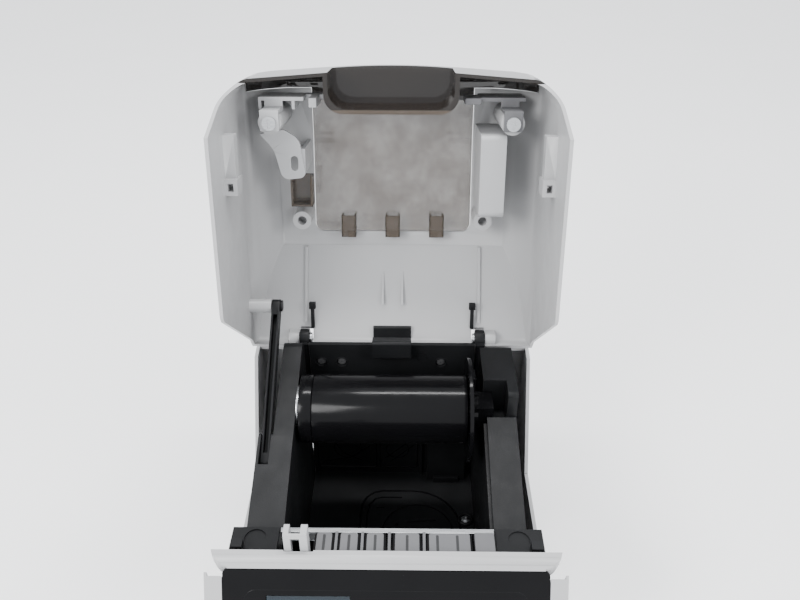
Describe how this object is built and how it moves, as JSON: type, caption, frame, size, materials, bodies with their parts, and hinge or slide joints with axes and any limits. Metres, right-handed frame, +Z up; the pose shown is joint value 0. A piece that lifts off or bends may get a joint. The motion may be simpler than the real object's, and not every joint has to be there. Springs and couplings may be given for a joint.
{
  "type": "thermal label printer",
  "caption": "Desktop thermal label printer with a hinged lid held open by a stay, a smoked window, a roll spindle, a platen drive and push keys.",
  "frame": {"origin": "on the table, under the middle of the printer's box with its lid open", "axes": "+X to the printer's right as seen from its front, +Y to its back, +Z up"},
  "size_m": [0.206, 0.2925, 0.3567],
  "materials": {
    "white_shell": "fine satin grain",
    "white_part": "satin moulded",
    "smoked_pane": "smoked, polished",
    "black_chassis": "fine spark-eroded grain",
    "black_gloss": "polished",
    "grey_comb": "satin",
    "rubber": "matt",
    "steel": "rolled",
    "steel_plate": "powder coat",
    "aluminium": "extruded",
    "ceramic": "glazed",
    "gear_plastic": "natural acetal",
    "display_glass": "polished",
    "circuit_board": "solder mask",
    "key_cap": "satin",
    "connector": "satin"
  },
  "bodies": {
    "base": {"base_plate": "steel_plate", "bay_floor": "black_chassis", "bay_rear_wall": "black_chassis", "corner_plates": "black_chassis", "cross_bar": "steel", "data_sockets": "connector", "display_board": "circuit_board", "display_lens": "display_glass", "exit_frame": "black_chassis", "front_cover": "white_shell", "front_door": "white_part", "front_panel": "black_gloss", "guide_comb": "grey_comb", "guide_rods": "steel", "head_springs": "steel", "hinge_arms": "black_chassis", "hinge_pins": "steel", "latch_hook": "white_part", "left_side_frame": "black_chassis", "lid_stop_block": "black_chassis", "lower_shell": "white_shell", "main_board": "circuit_board", "mech_plates": "steel", "motor": "steel_plate", "panel_screws": "steel", "platen_bushes": "gear_plastic", "power_board": "circuit_board", "power_inlet": "connector", "rear_cover": "white_shell", "rear_panel": "black_chassis", "right_cover_panel": "black_chassis", "right_side_frame": "black_chassis", "rubber_feet": "rubber", "spindle_axle": "steel", "tear_bar": "steel"},
    "lid": {"lid_shell": "white_shell", "lid_window": "smoked_pane", "latch_carrier": "white_part", "stop_plate": "grey_comb", "lid_bumper": "black_chassis", "lid_bracket_left": "white_part", "lid_bracket_right": "white_part", "lid_screws": "steel", "stay_pin": "black_chassis"},
    "stay": {"stay_arm": "black_chassis"},
    "key_pause": {"key_pause": "key_cap"},
    "key_feed": {"key_feed": "key_cap"},
    "key_cancel": {"key_cancel": "key_cap"},
    "spindle": {"spindle_tube": "black_gloss"},
    "guide": {"media_guide": "black_gloss"},
    "platen": {"platen_roller": "rubber", "platen_shaft": "steel", "platen_gear": "gear_plastic"},
    "idler": {"idler_gear": "gear_plastic"},
    "pinion": {"motor_pinion": "steel"},
    "head": {"print_head": "ceramic", "head_heatsink": "aluminium", "head_bracket": "steel"},
    "sensor": {"media_sensor": "black_chassis"},
    "rocker": {"power_switch": "connector"}
  },
  "joints": [
    {"name": "lid_hinge", "type": "hinge", "parent": "base", "child": "lid", "pos_m": [0, 0.0665, 0.1672], "axis": [1, 0, 0], "range_deg": [0, 103.3]},
    {"name": "stay_pivot", "type": "hinge", "parent": "lid", "child": "stay", "pos_m": [-0.0819, 0.06172, 0.19916], "axis": [1, 0, 0], "range_deg": [-105.5, 0]},
    {"name": "spindle_spin", "type": "hinge", "parent": "base", "child": "spindle", "pos_m": [0, 0.0105, 0.1485], "axis": [1, 0, 0], "continuous": true},
    {"name": "guide_slide", "type": "slide", "parent": "base", "child": "guide", "axis": [1, 0, 0], "range_m": [0, 0.004], "stiffness_N_per_m": 60, "springref_m": -0.01},
    {"name": "platen_spin", "type": "hinge", "parent": "base", "child": "platen", "pos_m": [0, -0.1225, 0.084], "axis": [1, 0, 0], "continuous": true},
    {"name": "idler_spin", "type": "hinge", "parent": "base", "child": "idler", "pos_m": [-0.066, -0.1225, 0.06], "axis": [1, 0, 0], "continuous": true},
    {"name": "pinion_spin", "type": "hinge", "parent": "base", "child": "pinion", "pos_m": [-0.066, -0.1033, 0.06], "axis": [1, 0, 0], "continuous": true},
    {"name": "head_tilt", "type": "hinge", "parent": "base", "child": "head", "pos_m": [0, -0.1015, 0.104], "axis": [1, 0, 0], "range_deg": [-3, 0], "stiffness_Nm_per_rad": 0.6, "springref_deg": 14.32, "deforming": ["head_springs"]},
    {"name": "sensor_slide", "type": "slide", "parent": "base", "child": "sensor", "axis": [1, 0, 0], "range_m": [-0.04, 0.04]},
    {"name": "switch_rock", "type": "hinge", "parent": "base", "child": "rocker", "pos_m": [0.0614, 0.087, 0.03], "axis": [1, 0, 0], "range_deg": [0, 12]},
    {"name": "key_pause_press", "type": "slide", "parent": "base", "child": "key_pause", "axis": [0, 0.878, -0.4787], "range_m": [0, 0.0012], "stiffness_N_per_m": 250, "springref_m": -0.0004},
    {"name": "key_feed_press", "type": "slide", "parent": "base", "child": "key_feed", "axis": [0, 0.878, -0.4787], "range_m": [0, 0.0012], "stiffness_N_per_m": 250, "springref_m": -0.0004},
    {"name": "key_cancel_press", "type": "slide", "parent": "base", "child": "key_cancel", "axis": [0, 0.878, -0.4787], "range_m": [0, 0.0012], "stiffness_N_per_m": 250, "springref_m": -0.0004}
  ],
  "couplings": [
    {"joint": "stay_pivot", "follows": "lid_hinge", "ratio": -1.0194},
    {"joint": "idler_spin", "follows": "platen_spin", "ratio": -0.66667},
    {"joint": "pinion_spin", "follows": "platen_spin", "ratio": 2}
  ]
}
